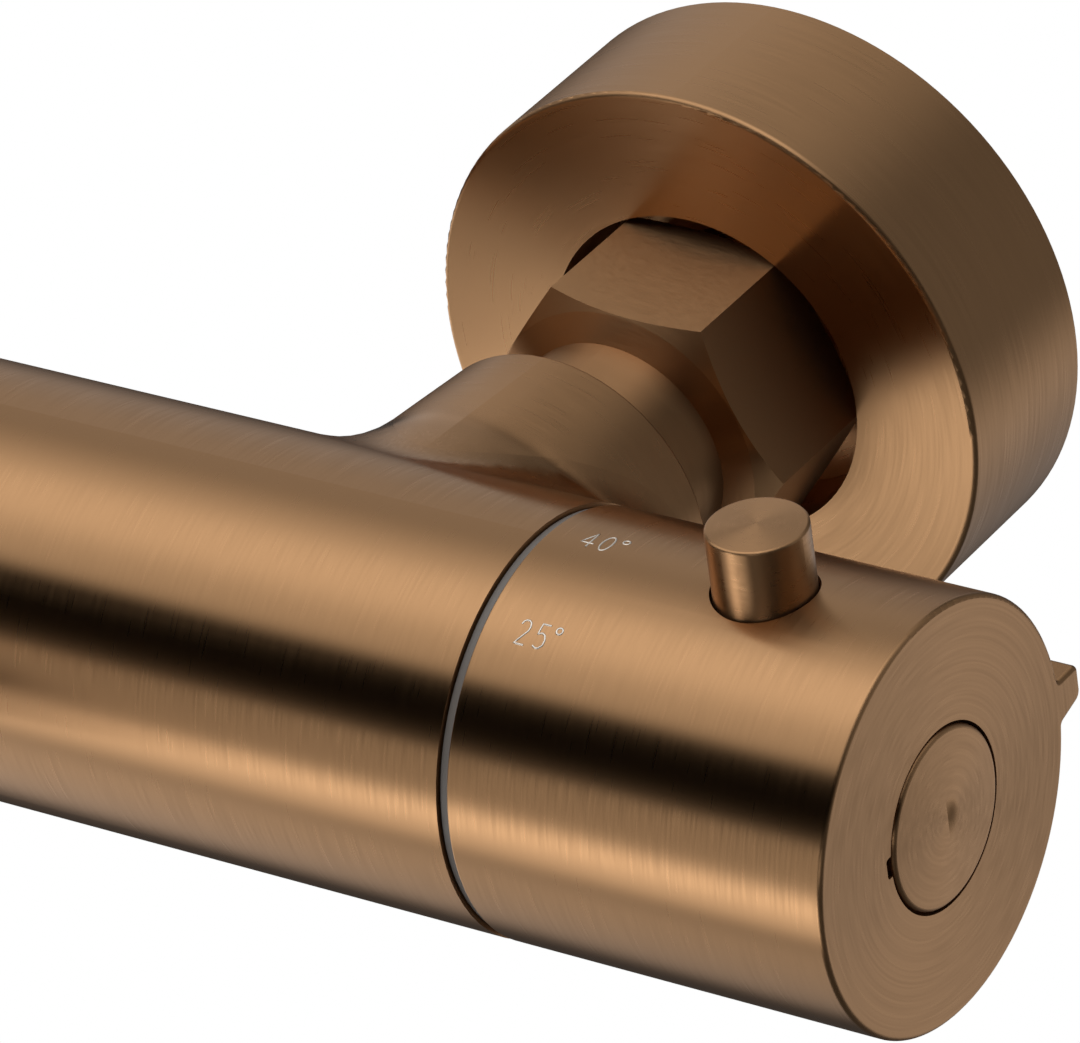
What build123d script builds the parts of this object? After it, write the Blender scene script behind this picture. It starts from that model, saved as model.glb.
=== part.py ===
from build123d import *
import math
import os

# Wall-mounted bath mixer on a horizontal bar, in millimetres.
# Origin: on the wall plane, midway between the two wall threads.
# X runs to the right along the bar, Y into the wall, Z up.

# Bar and its place
inlet_pitch = 150.0
bar_radius = 22.5
bar_past_inlet = 23.5
bar_to_wall = 84.4
eccentric_offset = 8.0

# Inlet branches on the bar
branch_root_radius = 20.0
branch_end_radius = 17.3
branch_length = 36.3
branch_blend = 11.0
branch_blend_share = 0.8
branch_edge = 0.4
casting_allowance = 15.0

# Bores in the body casting: how far each floor lies inboard of the inlet
cartridge_bore_radius = 16.0
cartridge_bore_inboard = 13.0
mixing_chamber_radius = 12.0
mixing_chamber_inboard = 26.5
headwork_bore_radius = 10.5
headwork_bore_inboard = 10.5
bore_floor_gap = 0.1
mixed_channel_radius = 6.5
side_channel_radius = 3.0
side_channel_offset = 15.6
inlet_bore_radius = 10.0
inlet_bore_reach = 13.5

# Fits
thread_gap = 0.04
running_gap = 0.05
sliding_gap = 0.12
face_gap = 0.05

# Nipple and union nut on each inlet
nipple_depth = 11.5
nipple_bore = 8.2
nipple_socket_bore = 6.0
nipple_socket_length = 5.0
neck_radius = 12.85
neck_gap = 0.3
neck_length = 10.0
nut_chamfer_radius = 16.0
nut_chamfer_depth = 1.1
nut_corner_depth = 2.6
nut_across_flats = 32.3
nut_length = 19.4
nut_seat_depth = 2.2
nut_thread_radius = 12.1
collar_radius = 11.9
collar_thickness = 2.4
right_nut_turn = 4.6
left_nut_turn = 19.0

# Strainer and washer under the nut
strainer_radius = 11.7
strainer_thickness = 0.5
strainer_hole_radius = 1.8
strainer_hole_circle = 4.6
strainer_holes = 6
washer_thickness = 2.2
washer_bore = 7.4

# Check valve in the nipple
valve_inset = 4.7
valve_length = 15.4
valve_wall = 1.4
valve_seat_radius = 3.8
valve_seat_thickness = 1.8
valve_guide_thickness = 1.6
valve_window_radius = 1.6
valve_window_circle = 4.4
valve_windows = 5
poppet_radius = 5.3
poppet_thickness = 1.3
poppet_stem_radius = 1.4
valve_spring_radius = 3.2
valve_spring_wire = 0.35
valve_spring_turns = 4

# Eccentric wall connector
connector_bore = 8.0
connector_shoulder_gap = 8.2
connector_flats = 27.0
connector_flats_length = 6.0
wall_shoulder_radius = 12.5
wall_thread_radius = 10.48
wall_thread_length = 14.0

# Rosette
rosette_radius = 33.65
rosette_depth = 21.05
rosette_wall = 2.0
rosette_edge = 0.6
rosette_hole_radius = 19.0
rosette_sleeve_wall = 1.5
rosette_seat_thickness = 2.2
rosette_seal_width = 3.5
rosette_seal_thickness = 2.0

# Knobs at both ends
wear_ring_width = 1.0
wear_ring_inset = 0.5
ring_gap = 0.2
knob_length = 43.7
knob_wall = 3.0
knob_end_wall = 6.5
knob_edge = 0.5
knob_rim_edge = 0.2
knob_hub_radius = 9.0
knob_hub_length = 5.5
fin_reach = 3.7
fin_top = 2.25
fin_root_thickness = 4.75
fin_tip_thickness = 3.75
fin_upper_edge = 0.7
fin_lower_edge = 1.2
fin_blend = 0.5
cap_radius = 9.85
cap_gap = 0.35
cap_recess_depth = 2.4
cap_proud = 0.45
cap_dome = 0.25
cap_edge = 0.45
pry_notch_width = 2.3
pry_notch_depth = 0.75
pry_notch_height = 0.4
screw_head_radius = 3.6
screw_head_length = 3.2
screw_recess_radius = 4.6
screw_shank_radius = 2.0
screw_shank_length = 14.0
screw_drive_flats = 3.0

# Button in each knob
button_from_end = 17.85
button_radius = 5.25
button_gap = 0.3
button_top = 29.95
button_crown = 0.25
button_edge = 0.3
button_recess_radius = 6.9
button_flange_radius = 6.6
button_flange_thickness = 1.0
button_nose_radius = 2.4
button_nose_end = 11.5
button_boss_radius = 9.2
button_boss_end = 12.4
retainer_thickness = 0.8
button_spring_radius = 4.9
button_spring_wire = 0.3
button_spring_turns = 3.5

# Fixed stop ring inside each knob
spindle_radius = 4.0
nose_radius = 6.5
nose_hub_gap = 1.45
stop_ring_radius = 8.0
stop_ring_length = 8.0
stop_lug_root = 1.0
stop_lug_radius = 12.2
stop_lug_angle = 135.0
stop_lug_half_angle = 52.0
flow_lug_angle = 180.0
flow_lug_half_angle = 66.0

# Cartridge in the right end
cartridge_chamber_radius = 11.2
cartridge_end_wall = 6.0
cartridge_flats = 27.0
cartridge_flats_length = 7.0
port_length = 6.0
port_width = 9.0
hot_port_inboard = 8.0
spindle_thread_radius = 7.0
spindle_thread_length = 7.0
spindle_inset = 6.0
piston_radius = 11.1
piston_length = 8.5
piston_wall = 2.4
piston_inboard = 4.5
element_radius = 4.6
element_length = 24.0
element_collar_radius = 8.6
element_pin_radius = 1.8
piston_travel = 0.7
return_spring_radius = 7.0
return_spring_wire = 0.8
return_spring_turns = 5
seal_cord_radius = 1.1
seal_inset = 4.4
seal_groove_clearance = 0.05

# Ceramic headwork in the left end
headwork_chamber_radius = 8.9
headwork_window_outboard = 3.5
headwork_window = 5.5
headwork_window_margin = 1.35
headwork_flats = 24.0
headwork_flats_length = 7.0
disc_radius = 8.7
disc_thickness = 2.6
disc_port_radius = 2.2
disc_port_circle = 5.2
headwork_seal_thickness = 1.6
headwork_seal_width = 1.4
driver_radius = 8.4
driver_thickness = 3.0

# Bath spout and shower outlet at the middle of the bar
outlet_boss_radius = 13.0
outlet_boss_end = 28.0
outlet_bore_radius = 9.6
outlet_bore_start = 14.0
spout_radius = 11.0
spout_wall = 1.6
spout_straight = 34.0
spout_bend_radius = 26.0
spout_drop = 8.0
spout_collar_radius = 12.6
spout_collar_length = 3.0
aerator_length = 9.0
aerator_lip = 2.2
aerator_wall = 1.2
aerator_hole_radius = 1.2
aerator_hole_circle = 4.3
aerator_holes = 8
outlet_flats = 24.0
outlet_flats_length = 4.0
hose_thread_radius = 10.48
hose_thread_length = 13.0
outlet_waterway = 5.5

bar_y = -bar_to_wall
bar_z = eccentric_offset
half_pitch = inlet_pitch / 2
bar_half_length = half_pitch + bar_past_inlet
cartridge_floor = half_pitch - cartridge_bore_inboard
cartridge_start = cartridge_floor + bore_floor_gap
mixing_floor = half_pitch - mixing_chamber_inboard
headwork_floor = half_pitch - headwork_bore_inboard
headwork_start = headwork_floor + bore_floor_gap
headwork_gallery = half_pitch + headwork_window_outboard
hot_port = half_pitch - hot_port_inboard
chamber_end = bar_half_length - cartridge_end_wall
knob_start = bar_half_length + ring_gap + wear_ring_width + face_gap
knob_end = knob_start + knob_length
knob_inner_end = knob_end - knob_end_wall
knob_bore = bar_radius - knob_wall
button_x = knob_end - button_from_end
nose_end = knob_inner_end - knob_hub_length - nose_hub_gap
nut_corner_radius = nut_across_flats / math.sqrt(3)
neck_start = branch_length + neck_gap
nut_front = neck_start + neck_length
nut_seat = nut_front + nut_seat_depth
nut_end = nut_front + nut_length
valve_start = branch_length - valve_inset
connector_shoulder = bar_to_wall - connector_shoulder_gap
rosette_front = bar_to_wall - rosette_depth
collar_start = nut_seat + face_gap
collar_end = collar_start + collar_thickness
strainer_start = collar_end + face_gap
washer_start = strainer_start + strainer_thickness + face_gap
connector_start = washer_start + washer_thickness + face_gap
nipple_radius = inlet_bore_radius - thread_gap


# Shapes used again and again


def rod(radius, start, end):
    """A round bar between two points."""
    span = Vector(*end) - Vector(*start)
    place = Plane(origin=start, z_dir=span)
    return place * Cylinder(radius, span.length, align=(Align.CENTER, Align.CENTER, Align.MIN))


def turned(outline, origin, direction):
    """A turned piece: radius and station pairs, spun about a line from origin."""
    section = Plane.XZ * make_face(Polyline(*outline, close=True))
    return Plane(origin=origin, z_dir=direction) * revolve(section, Axis.Z)


def tube(outer, inner, start, end):
    """A round tube between two points."""
    return rod(outer, start, end) - rod(inner, start, end)


def hexagon(across_flats, place, length):
    """A hexagonal bar on a plane."""
    outline = RegularPolygon(across_flats / math.sqrt(3), 6)
    return extrude(place * outline, length)


def coil(mean_radius, wire_radius, turns, start, end):
    """A round-wire compression spring between two points."""
    span = Vector(*end) - Vector(*start)
    height = span.length - 2 * wire_radius
    path = Helix(pitch=height / turns, height=height, radius=mean_radius)
    wire = Plane(origin=path @ 0, z_dir=path % 0) * Circle(wire_radius)
    place = Plane(origin=Vector(*start) + span.normalized() * wire_radius, z_dir=span)
    return place * sweep(wire, path=path)


def ring_of(shape, centre, direction, count):
    """Copies of a shape set round a line."""
    axis = Axis(centre, direction)
    return [shape.rotate(axis, 360 / count * index) for index in range(count)]


def on_bar(station, out_y=0.0, out_z=0.0):
    """A point given by its place along the bar and its offset from the bar's axis."""
    return (station, bar_y + out_y, bar_z + out_z)


def on_inlet(side, reach):
    """A point on one inlet's axis, at a distance from the bar's axis."""
    return (side * half_pitch, bar_y + reach, bar_z)


# Body casting: bar, two branches, two outlet bosses and the waterways


def branch(side):
    outline = [(0, 0), (branch_root_radius, 0), (branch_end_radius, branch_length), (0, branch_length)]
    return turned(outline, on_inlet(side, 0), (0, 1, 0))


def waterways():
    cuts = [
        rod(cartridge_bore_radius, on_bar(cartridge_floor), on_bar(bar_half_length)),
        rod(mixing_chamber_radius, on_bar(mixing_floor), on_bar(bar_half_length)),
        rod(headwork_bore_radius, on_bar(-bar_half_length), on_bar(-headwork_floor)),
        rod(mixed_channel_radius, on_bar(-half_pitch), on_bar(half_pitch)),
    ]
    for side in (-1, 1):
        reach_in = inlet_bore_reach if side < 0 else 0
        bore_floor = on_inlet(side, branch_length - nipple_depth)
        cuts.append(rod(inlet_bore_radius, bore_floor, on_inlet(side, branch_length)))
        cuts.append(rod(nipple_socket_bore, on_inlet(side, reach_in), on_inlet(side, branch_length)))
    hot_start = on_bar(-half_pitch, out_y=side_channel_offset)
    hot_end = on_bar(cartridge_floor + port_length, out_y=side_channel_offset)
    cuts.append(rod(side_channel_radius, hot_start, hot_end))
    gallery = -headwork_gallery
    for out_y, out_z in ((-side_channel_offset, 0), (0, -side_channel_offset)):
        cuts.append(rod(side_channel_radius, on_bar(gallery), on_bar(gallery, out_y, out_z)))
        cuts.append(rod(side_channel_radius, on_bar(gallery, out_y, out_z), on_bar(0, out_y, out_z)))
    cuts.append(rod(outlet_bore_radius, on_bar(0, out_y=-outlet_bore_start), on_bar(0, out_y=-outlet_boss_end)))
    cuts.append(rod(outlet_bore_radius, on_bar(0, out_z=-outlet_bore_start), on_bar(0, out_z=-outlet_boss_end)))
    return cuts


def mixer_body():
    # Cast over length, so that the blends of the branches run out over the ends, then turned to length
    stock = bar_half_length + casting_allowance
    body = rod(bar_radius, on_bar(-stock), on_bar(stock)) + branch(-1) + branch(1)
    seams = [edge for edge in body.edges() if is_branch_seam(edge)]
    body = fillet(seams, min(branch_blend, branch_blend_share * (branch_length - bar_radius)))
    body = body & rod(bar_radius + branch_length, on_bar(-bar_half_length), on_bar(bar_half_length))
    rims = [edge for edge in body.edges() if is_branch_rim(edge)]
    body = fillet(rims, branch_edge)
    body += rod(outlet_boss_radius, on_bar(0), on_bar(0, out_y=-outlet_boss_end))
    body += rod(outlet_boss_radius, on_bar(0), on_bar(0, out_z=-outlet_boss_end))
    for cut in waterways():
        body -= cut
    return body


def is_branch_seam(edge):
    box = edge.bounding_box()
    reach = box.max.Y - bar_y
    return branch_root_radius < box.size.X < half_pitch and 0 < reach <= bar_radius + face_gap


def is_branch_rim(edge):
    box = edge.bounding_box()
    return box.min.Y > bar_y + branch_length - face_gap


# Nipple, nut, washer and strainer of one inlet


def inlet_nipple(side):
    start = branch_length - nipple_depth
    outline = [
        (nipple_socket_bore, start + face_gap),
        (nipple_radius, start + face_gap),
        (nipple_radius, collar_start),
        (collar_radius, collar_start),
        (collar_radius, collar_end),
        (nipple_bore, collar_end),
        (nipple_bore, start + nipple_socket_length),
        (nipple_socket_bore, start + nipple_socket_length),
    ]
    return turned(outline, on_inlet(side, 0), (0, 1, 0))


def union_nut(side, turn):
    place = Plane(origin=on_inlet(side, nut_front), x_dir=(1, 0, 0), z_dir=(0, 1, 0))
    bar_stock = extrude(place * Rot(0, 0, turn) * RegularPolygon(nut_corner_radius, 6), nut_length)
    shoulder = [
        (0, nut_front),
        (neck_radius, nut_front),
        (nut_chamfer_radius, nut_front + nut_chamfer_depth),
        (nut_corner_radius, nut_front + nut_corner_depth),
        (nut_corner_radius, nut_end - nut_chamfer_depth),
        (nut_chamfer_radius, nut_end),
        (0, nut_end),
    ]
    nut = bar_stock & turned(shoulder, on_inlet(side, 0), (0, 1, 0))
    nut += rod(neck_radius, on_inlet(side, neck_start), on_inlet(side, nut_front + nut_chamfer_depth))
    nut -= rod(nipple_radius + sliding_gap, on_inlet(side, neck_start), on_inlet(side, nut_end))
    nut -= rod(nut_thread_radius, on_inlet(side, nut_seat), on_inlet(side, nut_end))
    return nut


def inlet_strainer(side):
    centre = on_inlet(side, strainer_start)
    far = on_inlet(side, strainer_start + strainer_thickness)
    disc = rod(strainer_radius, centre, far)
    hole = rod(strainer_hole_radius, centre, far)
    disc -= hole
    for copy in ring_of(hole.translate((strainer_hole_circle, 0, 0)), centre, (0, 1, 0), strainer_holes):
        disc -= copy
    return disc


def inlet_washer(side):
    end = on_inlet(side, washer_start + washer_thickness)
    return tube(strainer_radius, washer_bore, on_inlet(side, washer_start), end)


# Check valve of one inlet: housing, poppet and spring


def check_valve_housing(side):
    outer = nipple_bore - thread_gap
    inner = outer - valve_wall
    end = valve_start + valve_length
    housing = tube(outer, inner, on_inlet(side, valve_start), on_inlet(side, end))
    housing += tube(outer, valve_seat_radius, on_inlet(side, end - valve_seat_thickness), on_inlet(side, end))
    guide_end = valve_start + valve_guide_thickness
    guide = tube(
        outer, poppet_stem_radius + running_gap, on_inlet(side, valve_start), on_inlet(side, guide_end)
    )
    window = rod(valve_window_radius, on_inlet(side, valve_start), on_inlet(side, guide_end))
    window = window.translate((valve_window_circle, 0, 0))
    for copy in ring_of(window, on_inlet(side, 0), (0, 1, 0), valve_windows):
        guide -= copy
    return housing + guide


def poppet_back():
    return valve_start + valve_length - valve_seat_thickness - sliding_gap


def check_valve_poppet(side):
    back = poppet_back()
    disc = rod(poppet_radius, on_inlet(side, back - poppet_thickness), on_inlet(side, back))
    stem = rod(poppet_stem_radius, on_inlet(side, valve_start), on_inlet(side, back))
    return disc + stem


def check_valve_spring(side):
    start = on_inlet(side, valve_start + valve_guide_thickness + face_gap)
    end = on_inlet(side, poppet_back() - poppet_thickness - face_gap)
    return coil(valve_spring_radius, valve_spring_wire, valve_spring_turns, start, end)


# Eccentric connector and rosette of one inlet


def wall_connector(side):
    stem = rod(nut_thread_radius - thread_gap, on_inlet(side, connector_start), on_inlet(side, connector_shoulder))
    place = Plane(origin=on_inlet(side, connector_shoulder), x_dir=(1, 0, 0), z_dir=(0, 1, 0))
    connector = stem + hexagon(connector_flats, place, connector_flats_length)
    wall_start = (side * half_pitch, bar_y + connector_shoulder, 0)
    shoulder_end = (side * half_pitch, bar_y + connector_shoulder + connector_flats_length, 0)
    wall_end = (side * half_pitch, wall_thread_length, 0)
    connector += rod(wall_shoulder_radius, wall_start, shoulder_end)
    connector += rod(wall_thread_radius, wall_start, wall_end)
    connector -= rod(connector_bore, on_inlet(side, connector_start), on_inlet(side, connector_shoulder))
    connector -= rod(connector_bore, wall_start, wall_end)
    return connector


def rosette(side):
    seat_front = connector_shoulder - face_gap - rosette_seat_thickness
    sleeve_radius = rosette_hole_radius + rosette_sleeve_wall
    outline = [
        (nut_thread_radius + thread_gap, seat_front),
        (rosette_hole_radius, seat_front),
        (rosette_hole_radius, rosette_front),
        (rosette_radius, rosette_front),
        (rosette_radius, bar_to_wall),
        (rosette_radius - rosette_wall, bar_to_wall),
        (rosette_radius - rosette_wall, rosette_front + rosette_wall),
        (sleeve_radius, rosette_front + rosette_wall),
        (sleeve_radius, seat_front + rosette_seat_thickness),
        (nut_thread_radius + thread_gap, seat_front + rosette_seat_thickness),
    ]
    cup = turned(outline, on_inlet(side, 0), (0, 1, 0))
    front = cup.faces().sort_by(Axis.Y)[0]
    rim = front.edges().sort_by(SortBy.LENGTH)[-1]
    return fillet(rim, rosette_edge)


def rosette_seal(side):
    outer = rosette_radius - rosette_wall - face_gap
    start = on_inlet(side, bar_to_wall - rosette_seal_thickness)
    return tube(outer, outer - rosette_seal_width, start, on_inlet(side, bar_to_wall))


# Knob at one end of the bar, with its ring, button, cap and screw


def wear_ring(side):
    outer = bar_radius - wear_ring_inset
    start = bar_half_length + ring_gap
    return tube(outer, knob_bore, on_bar(side * start), on_bar(side * (start + wear_ring_width)))


def knob(side):
    shell = rod(bar_radius, on_bar(side * knob_start), on_bar(side * knob_end)) + fin(side)
    shell = fillet([edge for edge in shell.edges() if is_fin_root(edge)], fin_blend)
    for station, size in ((knob_start, knob_rim_edge), (knob_end, knob_edge)):
        rim = [edge for edge in shell.edges() if abs(abs(edge.center().X) - station) < face_gap]
        shell = fillet(rim, size)
    shell -= rod(knob_bore, on_bar(side * knob_start), on_bar(side * knob_inner_end))
    hub_start = knob_inner_end - knob_hub_length
    shell += rod(knob_hub_radius, on_bar(side * hub_start), on_bar(side * (knob_inner_end + face_gap)))
    boss_end = on_bar(side * button_x, out_z=button_boss_end)
    skin = on_bar(side * button_x, out_z=knob_bore)
    shell += rod(button_boss_radius, boss_end, skin)
    shell -= rod(button_recess_radius, boss_end, skin)
    shell -= rod(button_radius + button_gap, boss_end, on_bar(side * button_x, out_z=button_top))
    shell -= rod(spindle_radius + thread_gap, on_bar(side * hub_start), on_bar(side * knob_inner_end))
    recess_floor = knob_end - cap_recess_depth
    shell -= rod(cap_radius, on_bar(side * recess_floor), on_bar(side * knob_end))
    head_floor = recess_floor - screw_head_length - face_gap
    shell -= rod(screw_recess_radius, on_bar(side * head_floor), on_bar(side * knob_end))
    shell -= rod(screw_shank_radius + thread_gap, on_bar(side * knob_inner_end), on_bar(side * knob_end))
    notch = Box(cap_recess_depth, pry_notch_depth * 2, pry_notch_width)
    notch = fillet(notch.edges().filter_by(Axis.X), pry_notch_depth / 2)
    notch_place = on_bar(side * (knob_end - cap_recess_depth / 2), -cap_radius, pry_notch_height)
    return shell - Pos(*notch_place) * notch


def is_fin_root(edge):
    box = edge.bounding_box()
    on_skin = abs(math.hypot(box.center().Y - bar_y, box.center().Z - bar_z) - bar_radius) < face_gap
    return on_skin and box.size.X > knob_length / 2 and box.center().Y > bar_y + bar_radius / 2


def fin(side):
    """The grip on the wall side of a knob: flat on top, tapered below, with rounded tips."""
    tip = bar_radius + fin_reach
    root = bar_radius - knob_wall / 2
    fall = (fin_root_thickness - fin_tip_thickness) / fin_reach
    root_low = fin_top - fin_root_thickness - fall * (bar_radius - root)
    tip_low = fin_top - fin_tip_thickness
    outline = Polyline((root, root_low), (tip, tip_low), (tip, fin_top), (root, fin_top), close=True)
    section = make_face(outline)
    corners = section.vertices().sort_by(Axis.X)[2:].sort_by(Axis.Y)
    section = fillet(corners[0], fin_lower_edge)
    section = fillet(section.vertices().sort_by(Axis.X)[-2:].sort_by(Axis.Y)[-1], fin_upper_edge)
    start = min(side * knob_start, side * knob_end)
    place = Plane(origin=on_bar(start), x_dir=(0, 1, 0), z_dir=(1, 0, 0))
    return extrude(place * section, knob_length)


def button(side):
    flange_top = knob_bore - face_gap
    outline = [
        (0, button_nose_end),
        (button_nose_radius, button_nose_end),
        (button_nose_radius, flange_top - button_flange_thickness),
        (button_flange_radius, flange_top - button_flange_thickness),
        (button_flange_radius, flange_top),
        (button_radius, flange_top),
        (button_radius, button_top),
        (0, button_top),
    ]
    piece = turned(outline, on_bar(side * button_x), (0, 0, 1))
    dome_radius = (button_radius**2 + button_crown**2) / (2 * button_crown)
    piece = piece & Pos(*on_bar(side * button_x, out_z=button_top - dome_radius)) * Sphere(dome_radius)
    top = piece.faces().sort_by(Axis.Z)[-1]
    return fillet(top.edges(), button_edge)


def button_retainer(side):
    start = on_bar(side * button_x, out_z=button_boss_end)
    end = on_bar(side * button_x, out_z=button_boss_end + retainer_thickness)
    return tube(button_recess_radius - thread_gap, button_nose_radius + sliding_gap, start, end)


def button_spring(side):
    start = button_boss_end + retainer_thickness + face_gap
    end = knob_bore - 2 * face_gap - button_flange_thickness
    bottom = on_bar(side * button_x, out_z=start)
    top = on_bar(side * button_x, out_z=end)
    return coil(button_spring_radius, button_spring_wire, button_spring_turns, bottom, top)


def knob_cap(side):
    floor = knob_end - cap_recess_depth + face_gap
    edge = cap_radius - cap_gap
    crown = knob_end + cap_proud
    dome_radius = (edge**2 + cap_dome**2) / (2 * cap_dome)
    disc = rod(edge, on_bar(side * floor), on_bar(side * crown))
    disc = disc & Plane(origin=on_bar(side * (crown - dome_radius)), z_dir=(side, 0, 0)) * Sphere(dome_radius)
    rims = [edge for edge in disc.edges() if edge.geom_type == GeomType.CIRCLE and abs(edge.center().X) > knob_end]
    return fillet(rims, cap_edge)


def knob_screw(side):
    head_floor = knob_end - cap_recess_depth - screw_head_length
    head = rod(screw_head_radius, on_bar(side * head_floor), on_bar(side * (head_floor + screw_head_length)))
    shank = rod(screw_shank_radius, on_bar(side * (head_floor - screw_shank_length)), on_bar(side * head_floor))
    drive_depth = screw_head_length / 2
    drive_place = Plane(
        origin=on_bar(side * (head_floor + screw_head_length - drive_depth)), z_dir=(side, 0, 0)
    )
    return head + shank - hexagon(screw_drive_flats, drive_place, drive_depth)


def stop_ring(side, lug_angle, lug_half_angle):
    end = nose_end
    start = end - stop_ring_length
    ring = tube(stop_ring_radius, nose_radius + thread_gap, on_bar(side * start), on_bar(side * end))
    band = tube(stop_lug_radius, stop_ring_radius - stop_lug_root, on_bar(side * start), on_bar(side * end))
    half = math.radians(lug_half_angle)
    # The wedge runs well past the lug on every side
    side_reach = stop_lug_radius / math.cos(half)
    wedge = Polyline(
        (0, 0),
        (side_reach * math.cos(half), side_reach * math.sin(half)),
        (2 * side_reach, 0),
        (side_reach * math.cos(half), -side_reach * math.sin(half)),
        close=True,
    )
    # The lug's angle is counted about +X from straight up, towards the front
    turn = math.radians(lug_angle)
    toward = (0, -math.sin(turn), math.cos(turn))
    place = Plane(origin=on_bar(side * start), x_dir=toward, z_dir=(side, 0, 0))
    lug = band & extrude(place * make_face(wedge), stop_ring_length)
    return ring + lug


# Cartridge of the right-hand end


def cartridge_housing():
    outer = cartridge_bore_radius - thread_gap
    outline = [
        (cartridge_chamber_radius, cartridge_start),
        (outer, cartridge_start),
        (outer, bar_half_length),
        (nose_radius, bar_half_length),
        (nose_radius, nose_end),
        (spindle_radius + running_gap, nose_end),
        (spindle_radius + running_gap, chamber_end),
        (cartridge_chamber_radius, chamber_end),
    ]
    housing = turned(outline, on_bar(0), (1, 0, 0))
    flats = hexagon(cartridge_flats, Plane(origin=on_bar(bar_half_length), z_dir=(1, 0, 0)), cartridge_flats_length)
    housing += flats - rod(nose_radius - thread_gap, on_bar(bar_half_length), on_bar(nose_end))
    port = Box(port_length, port_width, 2 * cartridge_bore_radius)
    for station in (half_pitch, hot_port):
        for turn in (0, 90):
            housing -= Pos(*on_bar(station)) * Rot(turn, 0, 0) * port
    groove_centre = on_bar(bar_half_length - seal_inset)
    groove = Plane(origin=groove_centre, z_dir=(1, 0, 0)) * Torus(outer - seal_cord_radius / 2, seal_cord_radius)
    return housing - groove


def cartridge_seal():
    outer = cartridge_bore_radius - thread_gap
    cord = seal_cord_radius - seal_groove_clearance
    centre = on_bar(bar_half_length - seal_inset)
    seal = Plane(origin=centre, z_dir=(1, 0, 0)) * Torus(outer - seal_cord_radius / 2, cord)
    return seal & rod(cartridge_bore_radius, on_bar(0), on_bar(bar_half_length))


def spindle_start():
    return chamber_end - face_gap - spindle_thread_length


def cartridge_spindle():
    start = spindle_start()
    shaft = rod(spindle_radius, on_bar(start), on_bar(knob_inner_end - face_gap))
    shaft += rod(spindle_thread_radius, on_bar(start), on_bar(start + spindle_thread_length))
    shaft -= rod(screw_shank_radius + thread_gap, on_bar(nose_end - screw_shank_length), on_bar(knob_inner_end))
    shaft -= rod(element_pin_radius + running_gap, on_bar(start), on_bar(start + spindle_inset))
    return shaft


def piston_span():
    middle = half_pitch - piston_inboard
    return middle - piston_length / 2, middle + piston_length / 2


def regulating_piston():
    start, end = piston_span()
    outline = [
        (element_radius + thread_gap, start),
        (piston_radius, start),
        (piston_radius, end),
        (piston_radius - piston_wall, end),
        (piston_radius - piston_wall, start + piston_wall),
        (element_radius + thread_gap, start + piston_wall),
    ]
    return turned(outline, on_bar(0), (1, 0, 0))


def wax_element():
    start, end = piston_span()
    collar_start_x = start + piston_wall + face_gap
    tail = collar_start_x + piston_wall - element_length
    piece = rod(element_radius, on_bar(tail), on_bar(collar_start_x + piston_wall))
    piece += rod(element_collar_radius, on_bar(collar_start_x), on_bar(collar_start_x + piston_wall))
    pin_end = spindle_start() + spindle_inset - piston_travel
    piece += rod(element_pin_radius, on_bar(collar_start_x), on_bar(pin_end))
    return piece


def return_spring():
    start = on_bar(mixing_floor + face_gap)
    end = on_bar(piston_span()[0] - face_gap)
    return coil(return_spring_radius, return_spring_wire, return_spring_turns, start, end)


# Headwork of the left-hand end


def headwork_stations():
    seal_end = headwork_start + headwork_seal_thickness
    fixed_end = seal_end + face_gap + disc_thickness
    turning_end = fixed_end + face_gap + disc_thickness
    return seal_end, fixed_end, turning_end


def headwork_housing():
    outer = headwork_bore_radius - thread_gap
    chamber_end = headwork_gallery + headwork_window / 2 + headwork_window_margin
    outline = [
        (headwork_chamber_radius, headwork_start),
        (outer, headwork_start),
        (outer, bar_half_length),
        (nose_radius, bar_half_length),
        (nose_radius, nose_end),
        (spindle_radius + running_gap, nose_end),
        (spindle_radius + running_gap, chamber_end),
        (headwork_chamber_radius, chamber_end),
    ]
    housing = turned(outline, on_bar(0), (-1, 0, 0))
    flats = hexagon(headwork_flats, Plane(origin=on_bar(-bar_half_length), z_dir=(-1, 0, 0)), headwork_flats_length)
    housing += flats - rod(nose_radius - thread_gap, on_bar(-bar_half_length), on_bar(-nose_end))
    window = Box(headwork_window, headwork_window, 2 * headwork_bore_radius)
    for turn in (0, 90):
        housing -= Pos(*on_bar(-headwork_gallery)) * Rot(turn, 0, 0) * window
    return housing


def headwork_seal():
    seal_end = headwork_stations()[0]
    return tube(disc_radius, disc_radius - headwork_seal_width, on_bar(-headwork_start), on_bar(-seal_end))


def ceramic_disc(start, end, ports):
    disc = rod(disc_radius, on_bar(-start), on_bar(-end))
    port = rod(disc_port_radius, on_bar(-start, out_z=disc_port_circle), on_bar(-end, out_z=disc_port_circle))
    for index in range(ports):
        disc -= port.rotate(Axis(on_bar(0), (1, 0, 0)), 360 / ports * index)
    return disc


def headwork_spindle():
    turning_end = headwork_stations()[2]
    start = turning_end + face_gap
    shaft = rod(spindle_radius, on_bar(-start), on_bar(-(knob_inner_end - face_gap)))
    shaft += rod(driver_radius, on_bar(-start), on_bar(-(start + driver_thickness)))
    shaft -= rod(screw_shank_radius + thread_gap, on_bar(screw_shank_length - nose_end), on_bar(-knob_inner_end))
    return shaft


# Bath spout with its aerator, and the shower outlet


def spout_path():
    start = Vector(*on_bar(0, out_y=-outlet_boss_end))
    bend_start = start + Vector(0, -spout_straight, 0)
    bend_end = bend_start + Vector(0, -spout_bend_radius, -spout_bend_radius)
    tip = bend_end + Vector(0, 0, -spout_drop)
    return start, bend_start, bend_end, tip


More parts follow.
